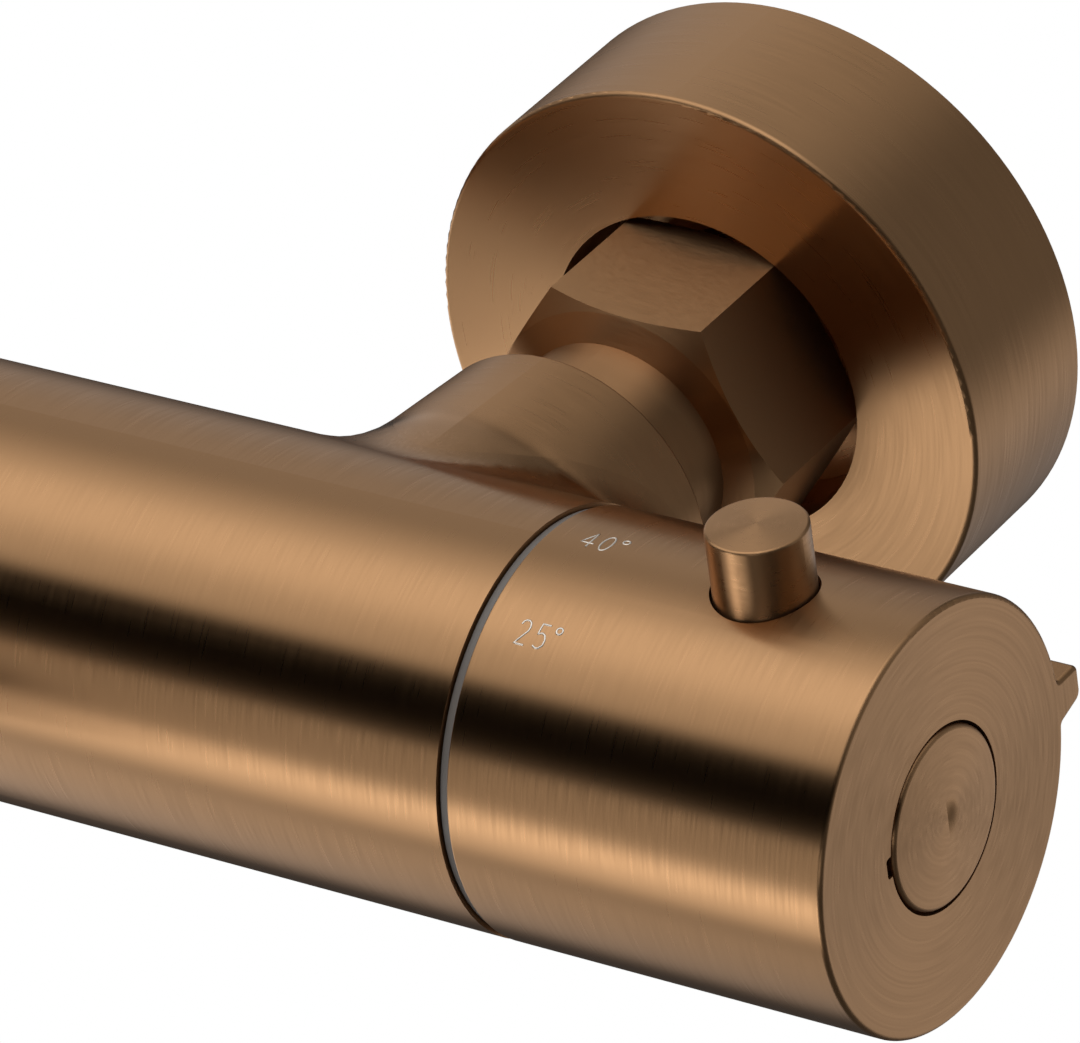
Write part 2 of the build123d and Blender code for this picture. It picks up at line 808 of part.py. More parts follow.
def bath_spout():
    start, bend_start, bend_end, tip = spout_path()
    centre = bend_start + Vector(0, 0, -spout_bend_radius)
    middle = centre + Vector(0, -1, 1).normalized() * spout_bend_radius
    path = Line(start, bend_start) + ThreePointArc(bend_start, middle, bend_end) + Line(bend_end, tip)
    face = Plane(origin=start, z_dir=(0, -1, 0))
    outer = sweep(face * Circle(spout_radius), path=path)
    inner = sweep(face * Circle(spout_radius - spout_wall), path=path)
    spout = outer - inner
    spigot_radius = outlet_bore_radius - thread_gap
    spigot_bore = spigot_radius - spout_wall
    inner_start = on_bar(0, out_y=-(outlet_bore_start + port_length))
    spout += tube(spigot_radius, spigot_bore, inner_start, on_bar(0, out_y=-(outlet_boss_end + spout_collar_length)))
    collar_from = on_bar(0, out_y=-(outlet_boss_end + face_gap))
    collar_to = on_bar(0, out_y=-(outlet_boss_end + spout_collar_length))
    spout += tube(spout_collar_radius, spigot_bore, collar_from, collar_to)
    return spout


def aerator_span():
    tip = spout_path()[3]
    top = tip.Z + aerator_length - aerator_lip
    bottom = tip.Z - aerator_lip
    return tip, top, bottom


def aerator_housing():
    tip, top, bottom = aerator_span()
    outer = spout_radius - spout_wall - thread_gap
    sleeve = tube(outer, outer - aerator_wall, (tip.X, tip.Y, bottom), (tip.X, tip.Y, top))
    lip = tube(spout_radius, outer - aerator_wall, (tip.X, tip.Y, bottom), (tip.X, tip.Y, tip.Z - face_gap))
    return sleeve + lip


def aerator_insert():
    tip, top, bottom = aerator_span()
    radius = spout_radius - spout_wall - thread_gap - aerator_wall - thread_gap
    start = (tip.X, tip.Y, bottom + aerator_wall)
    end = (tip.X, tip.Y, top - aerator_wall)
    insert = rod(radius, start, end)
    hole = rod(aerator_hole_radius, start, end)
    insert -= hole
    for copy in ring_of(hole.translate((aerator_hole_circle, 0, 0)), start, (0, 0, 1), aerator_holes):
        insert -= copy
    return insert


def shower_outlet_nipple():
    flats_end = outlet_boss_end + outlet_flats_length
    thread_end = flats_end + hose_thread_length
    upper = rod(
        outlet_bore_radius - thread_gap,
        on_bar(0, out_z=-(outlet_bore_start + port_length)),
        on_bar(0, out_z=-flats_end),
    )
    place = Plane(origin=on_bar(0, out_z=-(outlet_boss_end + face_gap)), z_dir=(0, 0, -1))
    nipple = upper + hexagon(outlet_flats, place, outlet_flats_length - face_gap)
    nipple += rod(hose_thread_radius, on_bar(0, out_z=-flats_end), on_bar(0, out_z=-thread_end))
    return nipple - rod(outlet_waterway, on_bar(0), on_bar(0, out_z=-thread_end))


def build():
    pieces = {
        "mixer_body": mixer_body(),
        "temperature_knob": knob(1),
        "temperature_wear_ring": wear_ring(1),
        "safety_button": button(1),
        "safety_button_spring": button_spring(1),
        "safety_button_retainer": button_retainer(1),
        "temperature_knob_cap": knob_cap(1),
        "temperature_knob_screw": knob_screw(1),
        "temperature_stop_ring": stop_ring(1, stop_lug_angle, stop_lug_half_angle),
        "cartridge_housing": cartridge_housing(),
        "cartridge_seal": cartridge_seal(),
        "cartridge_spindle": cartridge_spindle(),
        "regulating_piston": regulating_piston(),
        "wax_element": wax_element(),
        "return_spring": return_spring(),
        "flow_knob": knob(-1),
        "flow_wear_ring": wear_ring(-1),
        "eco_button": button(-1),
        "eco_button_spring": button_spring(-1),
        "eco_button_retainer": button_retainer(-1),
        "flow_knob_cap": knob_cap(-1),
        "flow_knob_screw": knob_screw(-1),
        "flow_stop_ring": stop_ring(-1, flow_lug_angle, flow_lug_half_angle),
        "headwork_housing": headwork_housing(),
        "headwork_seal": headwork_seal(),
        "headwork_spindle": headwork_spindle(),
        "bath_spout": bath_spout(),
        "aerator_housing": aerator_housing(),
        "aerator_insert": aerator_insert(),
        "shower_outlet_nipple": shower_outlet_nipple(),
    }
    seal_end, fixed_end, turning_end = headwork_stations()
    pieces["fixed_ceramic_disc"] = ceramic_disc(seal_end + face_gap, fixed_end, 3)
    pieces["turning_ceramic_disc"] = ceramic_disc(fixed_end + face_gap, turning_end, 1)
    for name, side, turn in (("hot", -1, left_nut_turn), ("cold", 1, right_nut_turn)):
        pieces[f"{name}_inlet_nipple"] = inlet_nipple(side)
        pieces[f"{name}_union_nut"] = union_nut(side, turn)
        pieces[f"{name}_inlet_strainer"] = inlet_strainer(side)
        pieces[f"{name}_inlet_washer"] = inlet_washer(side)
        pieces[f"{name}_check_valve_housing"] = check_valve_housing(side)
        pieces[f"{name}_check_valve_poppet"] = check_valve_poppet(side)
        pieces[f"{name}_check_valve_spring"] = check_valve_spring(side)
        pieces[f"{name}_wall_connector"] = wall_connector(side)
        pieces[f"{name}_rosette"] = rosette(side)
        pieces[f"{name}_rosette_seal"] = rosette_seal(side)
    return pieces


os.makedirs("parts", exist_ok=True)
for node, shape in build().items():
    export_step(shape, f"parts/{node}.step")
    print(node)
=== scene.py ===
import math

import bpy
from mathutils import Matrix, Vector


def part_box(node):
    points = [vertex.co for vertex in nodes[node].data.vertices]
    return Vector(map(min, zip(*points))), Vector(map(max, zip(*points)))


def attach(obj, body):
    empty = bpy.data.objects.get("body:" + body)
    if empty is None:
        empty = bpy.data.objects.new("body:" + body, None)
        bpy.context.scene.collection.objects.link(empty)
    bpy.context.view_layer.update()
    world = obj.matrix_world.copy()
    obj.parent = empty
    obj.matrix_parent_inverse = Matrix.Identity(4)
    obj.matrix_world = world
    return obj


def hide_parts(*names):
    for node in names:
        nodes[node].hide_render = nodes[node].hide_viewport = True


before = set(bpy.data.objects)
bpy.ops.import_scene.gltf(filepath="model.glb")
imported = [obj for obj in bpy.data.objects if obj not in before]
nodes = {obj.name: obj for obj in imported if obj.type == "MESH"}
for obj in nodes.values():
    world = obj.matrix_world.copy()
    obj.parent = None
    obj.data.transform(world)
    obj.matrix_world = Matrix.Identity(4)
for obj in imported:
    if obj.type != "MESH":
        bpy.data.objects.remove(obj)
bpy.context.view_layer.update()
print("frame loaded,", len(nodes), "pieces")

# Places in metres: X along the bar, Y into the wall, Z up
mixer = {
    "barY": -0.0844,
    "barZ": 0.008,
    "barRadius": 0.0225,
    "inletX": 0.075,
    "knobEnd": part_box("temperature_knob")[1][0],
    "spoutStart": 0.028,
    "spoutStraight": 0.034,
    "spoutBend": 0.026,
    "outletDrop": 0.045,      # from the bar's middle down to the end of the hose outlet
    "wallThreadEnd": 0.014,
}
barAxis = (0.0, mixer["barY"], mixer["barZ"])

noiseRange = (0.3, 0.7)   # nearly all of a noise texture lies between these
reliefDepth = 0.00005     # metres of relief at a bump strength of 1


# sRGB hex to linear
def hexColour(text):
    values = [int(text[i:i + 2], 16) / 255 for i in (0, 2, 4)]
    linear = [v / 12.92 if v <= 0.04045 else ((v + 0.055) / 1.055) ** 2.4 for v in values]
    return (*linear, 1.0)


def addNode(tree, kind, settings=None, links=None, inputs=None):
    node = tree.nodes.new(kind)
    for name, value in (settings or {}).items():
        setattr(node, name, value)
    for name, value in (inputs or {}).items():
        node.inputs[name].default_value = value
    for name, source in (links or {}).items():
        tree.links.new(source, node.inputs[name])
    return node


def newMaterial(name):
    material = bpy.data.materials.new(name)
    material.use_nodes = True
    tree = material.node_tree
    tree.nodes.clear()
    shader = addNode(tree, "ShaderNodeBsdfPrincipled")
    addNode(tree, "ShaderNodeOutputMaterial", links={"Surface": shader.outputs["BSDF"]})
    return material, tree, shader


def wear(names, material):
    for name in names:
        piece = nodes[name]
        piece.data.materials.clear()
        piece.data.materials.append(material)


def pickOnly(piece):
    bpy.ops.object.select_all(action="DESELECT")
    piece.select_set(True)
    bpy.context.view_layer.objects.active = piece


# Turned and brushed work: the scratches run in circles round one axis.
# A pattern is the place along the axis, the distance from it, and the way the scratches run.
def turnedPattern(tree, spot, axis, centre):
    offset = addNode(tree, "ShaderNodeVectorMath", {"operation": "SUBTRACT"}, {0: spot}, {1: centre})
    return patternFrom(tree, offset.outputs[0], axis)


def patternFrom(tree, offset, axis):
    along = addNode(tree, "ShaderNodeVectorMath", {"operation": "DOT_PRODUCT"}, {0: offset}, {1: axis})
    circle = addNode(tree, "ShaderNodeVectorMath", {"operation": "CROSS_PRODUCT"}, {1: offset}, {0: axis})
    out = addNode(tree, "ShaderNodeVectorMath", {"operation": "LENGTH"}, {0: circle.outputs[0]})
    way = addNode(tree, "ShaderNodeVectorMath", {"operation": "NORMALIZE"}, {0: circle.outputs[0]})
    return along.outputs["Value"], out.outputs["Value"], way.outputs[0]


# Goes from the first pattern to the second as a value goes from low to high
def blendPatterns(tree, value, low, high, first, second):
    share = addNode(tree, "ShaderNodeMapRange", {"interpolation_type": "SMOOTHSTEP"}, {"Value": value},
                    {"From Min": low, "From Max": high, "To Min": 0.0, "To Max": 1.0}).outputs[0]
    mixed = []
    for a, b, kind in zip(first, second, ("FLOAT", "FLOAT", "VECTOR")):
        mix = addNode(tree, "ShaderNodeMix", {"data_type": kind, "clamp_factor": True})
        sockets = [socket for socket in mix.inputs if socket.enabled]
        for socket, source in zip(sockets, (share, a, b)):
            tree.links.new(source, socket)
        mixed.append([socket for socket in mix.outputs if socket.enabled][0])
    return mixed


# Long scratches: fine across, slow along
def brushedLines(tree, pattern, finish):
    along, out, way = pattern
    lineScale = 1000 / finish["lineSpacingMm"]
    strokes = finish["strokesPerTurn"]
    across = addNode(tree, "ShaderNodeMath", {"operation": "MULTIPLY"}, {0: along}, {1: lineScale}).outputs[0]
    inward = addNode(tree, "ShaderNodeMath", {"operation": "MULTIPLY"}, {0: out}, {1: lineScale}).outputs[0]
    parts = addNode(tree, "ShaderNodeSeparateXYZ", links={0: way})
    first = addNode(tree, "ShaderNodeMath", {"operation": "MULTIPLY"},
                    {0: parts.outputs[0]}, {1: strokes}).outputs[0]
    other = addNode(tree, "ShaderNodeMath", {"operation": "SUBTRACT"},
                    {0: parts.outputs[1], 1: parts.outputs[2]}).outputs[0]
    second = addNode(tree, "ShaderNodeMath", {"operation": "MULTIPLY"}, {0: other}, {1: strokes}).outputs[0]
    where = addNode(tree, "ShaderNodeCombineXYZ", links={0: across, 1: inward, 2: first}).outputs[0]
    noise = addNode(tree, "ShaderNodeTexNoise", {"noise_dimensions": "4D"}, {"Vector": where, "W": second},
                    {"Scale": 1.0, "Detail": 1.0, "Roughness": 0.5})
    return noise.outputs[0]


# Roughness and relief both follow one pattern of noise
def followGrain(tree, shader, grain, finish):
    low, high = noiseRange
    rough = addNode(tree, "ShaderNodeMapRange", {}, {"Value": grain},
                    {"From Min": low, "From Max": high,
                     "To Min": finish["roughness"] - finish["roughnessSpread"],
                     "To Max": finish["roughness"] + finish["roughnessSpread"]})
    bump = addNode(tree, "ShaderNodeBump", {}, {"Height": grain},
                   {"Strength": finish["bump"], "Distance": reliefDepth})
    tree.links.new(rough.outputs[0], shader.inputs["Roughness"])
    tree.links.new(bump.outputs[0], shader.inputs["Normal"])


# Bronze plating over brass, brushed: satin, with highlights drawn out across the scratches.
# Real scratches are finer than 0.1 mm, and these are drawn coarser so that they show.
bronzePlate = {
    "colour": "BB9067",
    "roughness": 0.30,
    "roughnessSpread": 0.03,
    "anisotropic": 0.9,
    "lineSpacingMm": 0.30,
    "strokesPerTurn": 3.0,
    "bump": 0.02,
}


def finishBrushed(tree, shader, pattern, finish):
    followGrain(tree, shader, brushedLines(tree, pattern, finish), finish)
    way = addNode(tree, "ShaderNodeVectorTransform",
                  {"vector_type": "VECTOR", "convert_from": "OBJECT", "convert_to": "WORLD"}, {0: pattern[2]})
    shader.inputs["Base Color"].default_value = hexColour(finish["colour"])
    shader.inputs["Metallic"].default_value = 1.0
    shader.inputs["Anisotropic"].default_value = finish["anisotropic"]
    shader.inputs["Anisotropic Rotation"].default_value = 0.25  # a quarter turn, across the scratches
    tree.links.new(way.outputs[0], shader.inputs["Tangent"])


def brushedMetal(name, axis, centre, finish=bronzePlate):
    material, tree, shader = newMaterial(name)
    spot = addNode(tree, "ShaderNodeTexCoord").outputs["Object"]
    finishBrushed(tree, shader, turnedPattern(tree, spot, axis, centre), finish)
    return material


# Where the brushing of the body turns, in bar radii from the bar's middle
bodyTurns = {"branch": (0.8, 1.1), "boss": (1.02, 1.01)}


# The body is brushed round the bar, and round each branch and boss where those stand out of it
def bodyBronze():
    material, tree, shader = newMaterial("brushed bronze plate of the body")
    spot = addNode(tree, "ShaderNodeTexCoord").outputs["Object"]
    x, y, z = addNode(tree, "ShaderNodeSeparateXYZ", links={0: spot}).outputs
    side = addNode(tree, "ShaderNodeMath", {"operation": "SIGN"}, {0: x}).outputs[0]
    inlet = addNode(tree, "ShaderNodeMath", {"operation": "MULTIPLY"},
                    {0: side}, {1: mixer["inletX"]}).outputs[0]
    centre = addNode(tree, "ShaderNodeCombineXYZ", {}, {0: inlet}, {2: mixer["barZ"]}).outputs[0]
    offset = addNode(tree, "ShaderNodeVectorMath", {"operation": "SUBTRACT"},
                     {0: spot, 1: centre}).outputs[0]
    nearBranch, farBranch = [share * mixer["barRadius"] for share in bodyTurns["branch"]]
    farBoss, nearBoss = [share * mixer["barRadius"] for share in bodyTurns["boss"]]
    bar = turnedPattern(tree, spot, (1, 0, 0), barAxis)
    branch = patternFrom(tree, offset, (0, 1, 0))
    pattern = blendPatterns(tree, y, mixer["barY"] + nearBranch, mixer["barY"] + farBranch, bar, branch)
    spout = turnedPattern(tree, spot, (0, 1, 0), (0, 0, mixer["barZ"]))
    pattern = blendPatterns(tree, y, mixer["barY"] - farBoss, mixer["barY"] - nearBoss, spout, pattern)
    outlet = turnedPattern(tree, spot, (0, 0, 1), (0, mixer["barY"], 0))
    pattern = blendPatterns(tree, z, mixer["barZ"] - farBoss, mixer["barZ"] - nearBoss, outlet, pattern)
    finishBrushed(tree, shader, pattern, bronzePlate)
    return material


# The spout is brushed round its tube, which turns down through a quarter circle
def spoutBronze():
    material, tree, shader = newMaterial("brushed bronze plate of the spout")
    spot = addNode(tree, "ShaderNodeTexCoord").outputs["Object"]
    bend = mixer["spoutBend"]
    middle = (0, mixer["barY"] - mixer["spoutStart"] - mixer["spoutStraight"], mixer["barZ"] - bend)
    offset = addNode(tree, "ShaderNodeVectorMath", {"operation": "SUBTRACT"},
                     {0: spot}, {1: middle}).outputs[0]
    parts = addNode(tree, "ShaderNodeSeparateXYZ", links={0: offset})
    front = addNode(tree, "ShaderNodeMath", {"operation": "MULTIPLY"},
                    {0: parts.outputs[1]}, {1: -1.0}).outputs[0]
    angle = addNode(tree, "ShaderNodeMath", {"operation": "ARCTAN2"},
                    {0: front, 1: parts.outputs[2]}).outputs[0]
    turn = addNode(tree, "ShaderNodeClamp", {}, {"Value": angle}, {"Min": 0.0, "Max": math.pi / 2}).outputs[0]
    sine = addNode(tree, "ShaderNodeMath", {"operation": "SINE"}, {0: turn}).outputs[0]
    cosine = addNode(tree, "ShaderNodeMath", {"operation": "COSINE"}, {0: turn}).outputs[0]
    minusSine = addNode(tree, "ShaderNodeMath", {"operation": "MULTIPLY"}, {0: sine}, {1: -1.0}).outputs[0]
    minusCosine = addNode(tree, "ShaderNodeMath", {"operation": "MULTIPLY"},
                          {0: cosine}, {1: -1.0}).outputs[0]
    # the ways out from the bend's middle and along the tube, where the tube has turned that far
    outWay = addNode(tree, "ShaderNodeCombineXYZ", links={1: minusSine, 2: cosine}).outputs[0]
    tube = addNode(tree, "ShaderNodeCombineXYZ", links={1: minusCosine, 2: minusSine}).outputs[0]
    core = addNode(tree, "ShaderNodeVectorMath", {"operation": "SCALE"},
                   {0: outWay}, {"Scale": bend}).outputs[0]
    fromCore = addNode(tree, "ShaderNodeVectorMath", {"operation": "SUBTRACT"},
                       {0: offset, 1: core}).outputs[0]
    circle = addNode(tree, "ShaderNodeVectorMath", {"operation": "CROSS_PRODUCT"},
                     {0: tube, 1: fromCore}).outputs[0]
    out = addNode(tree, "ShaderNodeVectorMath", {"operation": "LENGTH"}, {0: circle}).outputs["Value"]
    way = addNode(tree, "ShaderNodeVectorMath", {"operation": "NORMALIZE"}, {0: circle}).outputs[0]
    straight = addNode(tree, "ShaderNodeVectorMath", {"operation": "DOT_PRODUCT"},
                       {0: fromCore, 1: tube}).outputs["Value"]
    along = addNode(tree, "ShaderNodeMath", {"operation": "MULTIPLY_ADD"},
                    {0: turn, 2: straight}, {1: bend}).outputs[0]
    finishBrushed(tree, shader, (along, out, way), bronzePlate)
    return material


# A finish with no direction: its grain is the same every way
def plainMaterial(name, finish):
    material, tree, shader = newMaterial(name)
    spot = addNode(tree, "ShaderNodeTexCoord").outputs["Object"]
    noise = addNode(tree, "ShaderNodeTexNoise", {}, {"Vector": spot},
                    {"Scale": 1000 / finish["grainMm"], "Detail": 3.0})
    followGrain(tree, shader, noise.outputs[0], finish)
    shader.inputs["Base Color"].default_value = hexColour(finish["colour"])
    shader.inputs["Metallic"].default_value = finish["metallic"]
    return material


# The nut is drawn bar, ground and plated: a finer grain than the brushed pieces, and a softer shine
nutBronze = dict(bronzePlate, roughness=0.36, lineSpacingMm=0.25, bump=0.01)
# Brass left bare inside, as turned: yellow, with fine tool rings
turnedBrass = dict(bronzePlate, colour="D9B872", roughness=0.26, anisotropic=0.5, lineSpacingMm=0.2)

wear(["mixer_body"], bodyBronze())
wear(["bath_spout"], spoutBronze())
wear(["temperature_knob", "flow_knob", "temperature_knob_cap", "flow_knob_cap"],
     brushedMetal("brushed bronze plate, round the bar", (1, 0, 0), barAxis))
wear(["cartridge_housing", "cartridge_spindle", "headwork_housing", "headwork_spindle"],
     brushedMetal("turned brass, round the bar", (1, 0, 0), barAxis, turnedBrass))
for side, x in (("hot", -mixer["inletX"]), ("cold", mixer["inletX"])):
    inlet = (x, 0, mixer["barZ"])
    wear([side + "_rosette"],
         brushedMetal("brushed bronze plate, " + side + " rosette", (0, 1, 0), inlet))
    wear([side + "_union_nut"],
         brushedMetal("ground bronze plate, " + side + " nut", (0, 1, 0), inlet, nutBronze))
    wear([side + "_inlet_nipple", side + "_wall_connector"],
         brushedMetal("turned brass, " + side + " inlet", (0, 1, 0), inlet, turnedBrass))
spoutEnd = (0, mixer["barY"] - mixer["spoutStart"] - mixer["spoutStraight"] - mixer["spoutBend"], 0)
wear(["aerator_housing"], brushedMetal("brushed bronze plate, spout mouth", (0, 0, 1), spoutEnd))
wear(["shower_outlet_nipple"], brushedMetal("brushed bronze plate, hose outlet", (0, 0, 1), barAxis))
for name in ("safety_button", "eco_button"):
    low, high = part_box(name)
    middle = ((low[0] + high[0]) / 2, mixer["barY"], 0)
    wear([name], brushedMetal("brushed bronze plate, " + name.replace("_", " "), (0, 0, 1), middle))

# Drawn copper sheath: pink and fairly shiny
copper = {"colour": "C88B63", "metallic": 1.0, "roughness": 0.3, "roughnessSpread": 0.06,
          "grainMm": 0.6, "bump": 0.05}
wear(["wax_element"], plainMaterial("drawn copper", copper))
# Drawn stainless wire and pressed sheet: cool grey, bright
stainless = {"colour": "C4C3BE", "metallic": 1.0, "roughness": 0.25, "roughnessSpread": 0.05,
             "grainMm": 0.4, "bump": 0.05}
steelWords = ("spring", "strainer", "screw", "retainer")
wear([name for name in nodes if any(word in name for word in steelWords)],
     plainMaterial("drawn stainless steel", stainless))
# Moulded nitrile rubber: black and dull, a little uneven
rubber = {"colour": "1B1A1A", "metallic": 0.0, "roughness": 0.62, "roughnessSpread": 0.08,
          "grainMm": 0.25, "bump": 0.3}
wear([name for name in nodes if "seal" in name or "washer" in name], plainMaterial("moulded rubber", rubber))
# Lapped alumina ceramic: white, close to a polish
alumina = {"colour": "ECE9E1", "metallic": 0.0, "roughness": 0.14, "roughnessSpread": 0.03,
           "grainMm": 0.15, "bump": 0.03}
wear(["fixed_ceramic_disc", "turning_ceramic_disc"], plainMaterial("lapped alumina", alumina))
# Moulded acetal: a plain grey, satin, as the ring beside the knob shows
acetal = {"colour": "8C857F", "metallic": 0.0, "roughness": 0.42, "roughnessSpread": 0.06,
          "grainMm": 0.3, "bump": 0.1}
wear(["temperature_wear_ring", "flow_wear_ring", "temperature_stop_ring", "flow_stop_ring",
      "regulating_piston", "hot_check_valve_housing", "cold_check_valve_housing",
      "hot_check_valve_poppet", "cold_check_valve_poppet", "aerator_insert"],
     plainMaterial("moulded acetal", acetal))
print("materials done")

# Numbers on the temperature knob: narrow single strokes marked into the plating, in millimetres
dial = {
    "strokeRadius": 0.14,
    "sunk": 0.08,
    "digitWidth": 1.15,
    "digitHeight": 2.65,
    "pitch": 2.15,
    "degreeGap": 1.10,
    "degreeRadius": 0.36,
    # text, where the first digit starts from the knob's edge, its baseline round the knob from the top
    "marks": [("40", 4.02, -0.38), ("25", 4.05, -13.70)],
    # strokes of each digit on a unit box, as points joined by lines
    "4": [[(0.82, 0.0), (0.82, 1.0), (0.0, 0.28), (1.25, 0.28)]],
    "0": [[(0.5 + 0.5 * math.cos(math.radians(a)), 0.5 + 0.5 * math.sin(math.radians(a)))
           for a in range(0, 361, 15)]],
    "2": [[(0.02, 0.80), (0.12, 0.93), (0.35, 1.0), (0.62, 1.0), (0.86, 0.92), (0.97, 0.76), (0.92, 0.58),
           (0.0, 0.0), (1.0, 0.0)]],
    "5": [[(0.98, 1.0), (0.14, 1.0), (0.06, 0.56), (0.45, 0.63), (0.78, 0.56), (0.97, 0.36), (0.92, 0.15),
           (0.62, 0.01), (0.30, 0.0), (0.0, 0.07)]],
    "straightSteps": 4,   # a line is cut in so many, to bend with the knob
    "fineFrom": 20,       # a stroke with so many points bends well as it is
    "finish": {"colour": "F8EEE2", "metallic": 1.0, "roughness": 0.36, "roughnessSpread": 0.05,
               "grainMm": 0.1, "bump": 0.1},
}


# A point on the knob, from millimetres along it from its inner edge and round it from the top
def roundKnob(along, arc):
    radius = mixer["barRadius"] * 1000
    reach = radius - dial["sunk"]
    angle = arc / radius
    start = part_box("temperature_knob")[0][0]
    return (start + along / 1000, mixer["barY"] + math.sin(angle) * reach / 1000,
            mixer["barZ"] + math.cos(angle) * reach / 1000)


def bendable(stroke):
    if len(stroke) >= dial["fineFrom"]:
        return stroke
    steps = dial["straightSteps"]
    return [(a[0] + (b[0] - a[0]) * step / steps, a[1] + (b[1] - a[1]) * step / steps)
            for a, b in zip(stroke, stroke[1:]) for step in range(steps)] + [stroke[-1]]


def strokeCurve(name, lines):
    curve = bpy.data.curves.new(name, "CURVE")
    curve.dimensions = "3D"
    curve.bevel_depth = dial["strokeRadius"] / 1000
    curve.bevel_resolution = 2
    curve.use_fill_caps = True
    for line in lines:
        spline = curve.splines.new("POLY")
        spline.points.add(len(line) - 1)
        for point, (along, arc) in zip(spline.points, line):
            point.co = (*roundKnob(along, arc), 1)
    piece = bpy.data.objects.new(name, curve)
    bpy.context.scene.collection.objects.link(piece)
    pickOnly(piece)
    bpy.ops.object.convert(target="MESH")
    bpy.ops.object.shade_smooth()
    return bpy.context.view_layer.objects.active


# Laser marking: the plating burnt pale, with a fine even grain that shows the same from every side
markedPlating = plainMaterial("laser-marked plating", dial["finish"])
for text, start, base in dial["marks"]:
    width, height, radius = dial["digitWidth"], dial["digitHeight"], dial["degreeRadius"]
    lines = []
    for place, digit in enumerate(text):
        left = start + place * dial["pitch"]
        for stroke in dial[digit]:
            lines.append([(left + u * width, base + v * height) for u, v in bendable(stroke)])
    ringX = left + width + dial["degreeGap"]
    ringY = base + height - radius
    lines.append([(ringX + radius * math.cos(math.radians(a)), ringY + radius * math.sin(math.radians(a)))
                  for a in range(0, 361, 24)])
    mark = strokeCurve("dial_mark_" + text, lines)
    mark.data.materials.append(markedPlating)
    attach(mark, "temperature_control")
print("dial marks done")

# Pipe threads, 14 turns to the inch: a helical groove cut into the plain stem of each CAD piece
thread = {
    "pitch": 0.001814,
    "depth": 0.00116,
    "overcut": 0.0003,
    "halfAngle": math.radians(27.5),
    "stepsPerTurn": 40,
    "radius": 0.01048,
    "mergeDistance": 0.000001,
    "smoothAngle": math.radians(30),
    # CAD piece, its slot, the centre of the stem's end, the way the stem points, threaded length
    "stems": [
        ("shower_outlet_nipple", "brushed_bronze_plate",
         (0, mixer["barY"], mixer["barZ"] - mixer["outletDrop"]), (0, 0, -1), 0.0115),
        ("hot_wall_connector", "bare_brass",
         (-mixer["inletX"], mixer["wallThreadEnd"], 0), (0, 1, 0), 0.0135),
        ("cold_wall_connector", "bare_brass",
         (mixer["inletX"], mixer["wallThreadEnd"], 0), (0, 1, 0), 0.0135),
    ],
}


# A closed helical wedge that enters a stem at its end
def threadGroove(end, way, length):
    bpy.ops.object.select_all(action="DESELECT")
    bpy.ops.mesh.primitive_circle_add(vertices=3, fill_type="NOTHING")
    wedge = bpy.context.active_object
    outside = thread["radius"] + thread["overcut"]
    root = thread["radius"] - thread["depth"]
    half = (thread["depth"] + thread["overcut"]) * math.tan(thread["halfAngle"])
    start = thread["pitch"]
    corners = ((outside, 0, start + half), (outside, 0, start - half), (root, 0, start))
    for corner, place in zip(wedge.data.vertices, corners):
        corner.co = place
    screw = wedge.modifiers.new("turns", "SCREW")
    screw.axis = "Z"
    screw.screw_offset = -thread["pitch"]
    screw.iterations = 1 + int(length / thread["pitch"])
    screw.steps = screw.render_steps = thread["stepsPerTurn"]
    bpy.ops.object.modifier_apply(modifier=screw.name)
    bpy.ops.object.mode_set(mode="EDIT")
    bpy.ops.mesh.select_all(action="SELECT")
    bpy.ops.mesh.fill_holes(sides=3)
    bpy.ops.mesh.normals_make_consistent(inside=False)
    bpy.ops.object.mode_set(mode="OBJECT")
    turn = Vector((0, 0, 1)).rotation_difference(Vector(way))
    wedge.matrix_world = Matrix.Translation(end) @ turn.to_matrix().to_4x4()
    bpy.ops.object.transform_apply(location=True, rotation=True, scale=True)
    return wedge


for name, finishSlot, end, way, length in thread["stems"]:
    groove = threadGroove(end, way, length)
    piece = bpy.data.objects.new(name + "_threaded", nodes[name].data.copy())
    bpy.context.scene.collection.objects.link(piece)
    pickOnly(piece)
    bpy.ops.object.mode_set(mode="EDIT")
    bpy.ops.mesh.select_all(action="SELECT")
    bpy.ops.mesh.remove_doubles(threshold=thread["mergeDistance"])
    bpy.ops.object.mode_set(mode="OBJECT")
    cut = piece.modifiers.new("thread", "BOOLEAN")
    cut.operation = "DIFFERENCE"
    cut.object = groove
    bpy.ops.object.modifier_apply(modifier=cut.name)
    bpy.ops.object.shade_smooth_by_angle(angle=thread["smoothAngle"])
    bpy.data.objects.remove(groove, do_unlink=True)
    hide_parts(name)
    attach(piece, "mixer")
    print("thread on", name, len(piece.data.polygons), "faces")

# Camera, from the photograph
cameraPlace = {
    "fromKnobEnd": (0.41895, -0.5946, 0.4790),
    "right": (0.82706, 0.54782, -0.12592),
    "up": (-0.19811, 0.49373, 0.84674),
    "back": (0.52604, -0.67536, 0.51688),
    "lens": 296.2,
    "nearest": 0.01,
}
camera = bpy.data.objects.new("camera", bpy.data.cameras.new("camera"))
bpy.context.scene.collection.objects.link(camera)
eye = Vector(cameraPlace["fromKnobEnd"]) + Vector((mixer["knobEnd"], mixer["barY"], mixer["barZ"]))
turn = Matrix((cameraPlace["right"], cameraPlace["up"], cameraPlace["back"])).transposed().to_4x4()
camera.matrix_world = Matrix.Translation(eye) @ turn
camera.data.lens = cameraPlace["lens"]
camera.data.clip_start = cameraPlace["nearest"]
bpy.context.scene.camera = camera

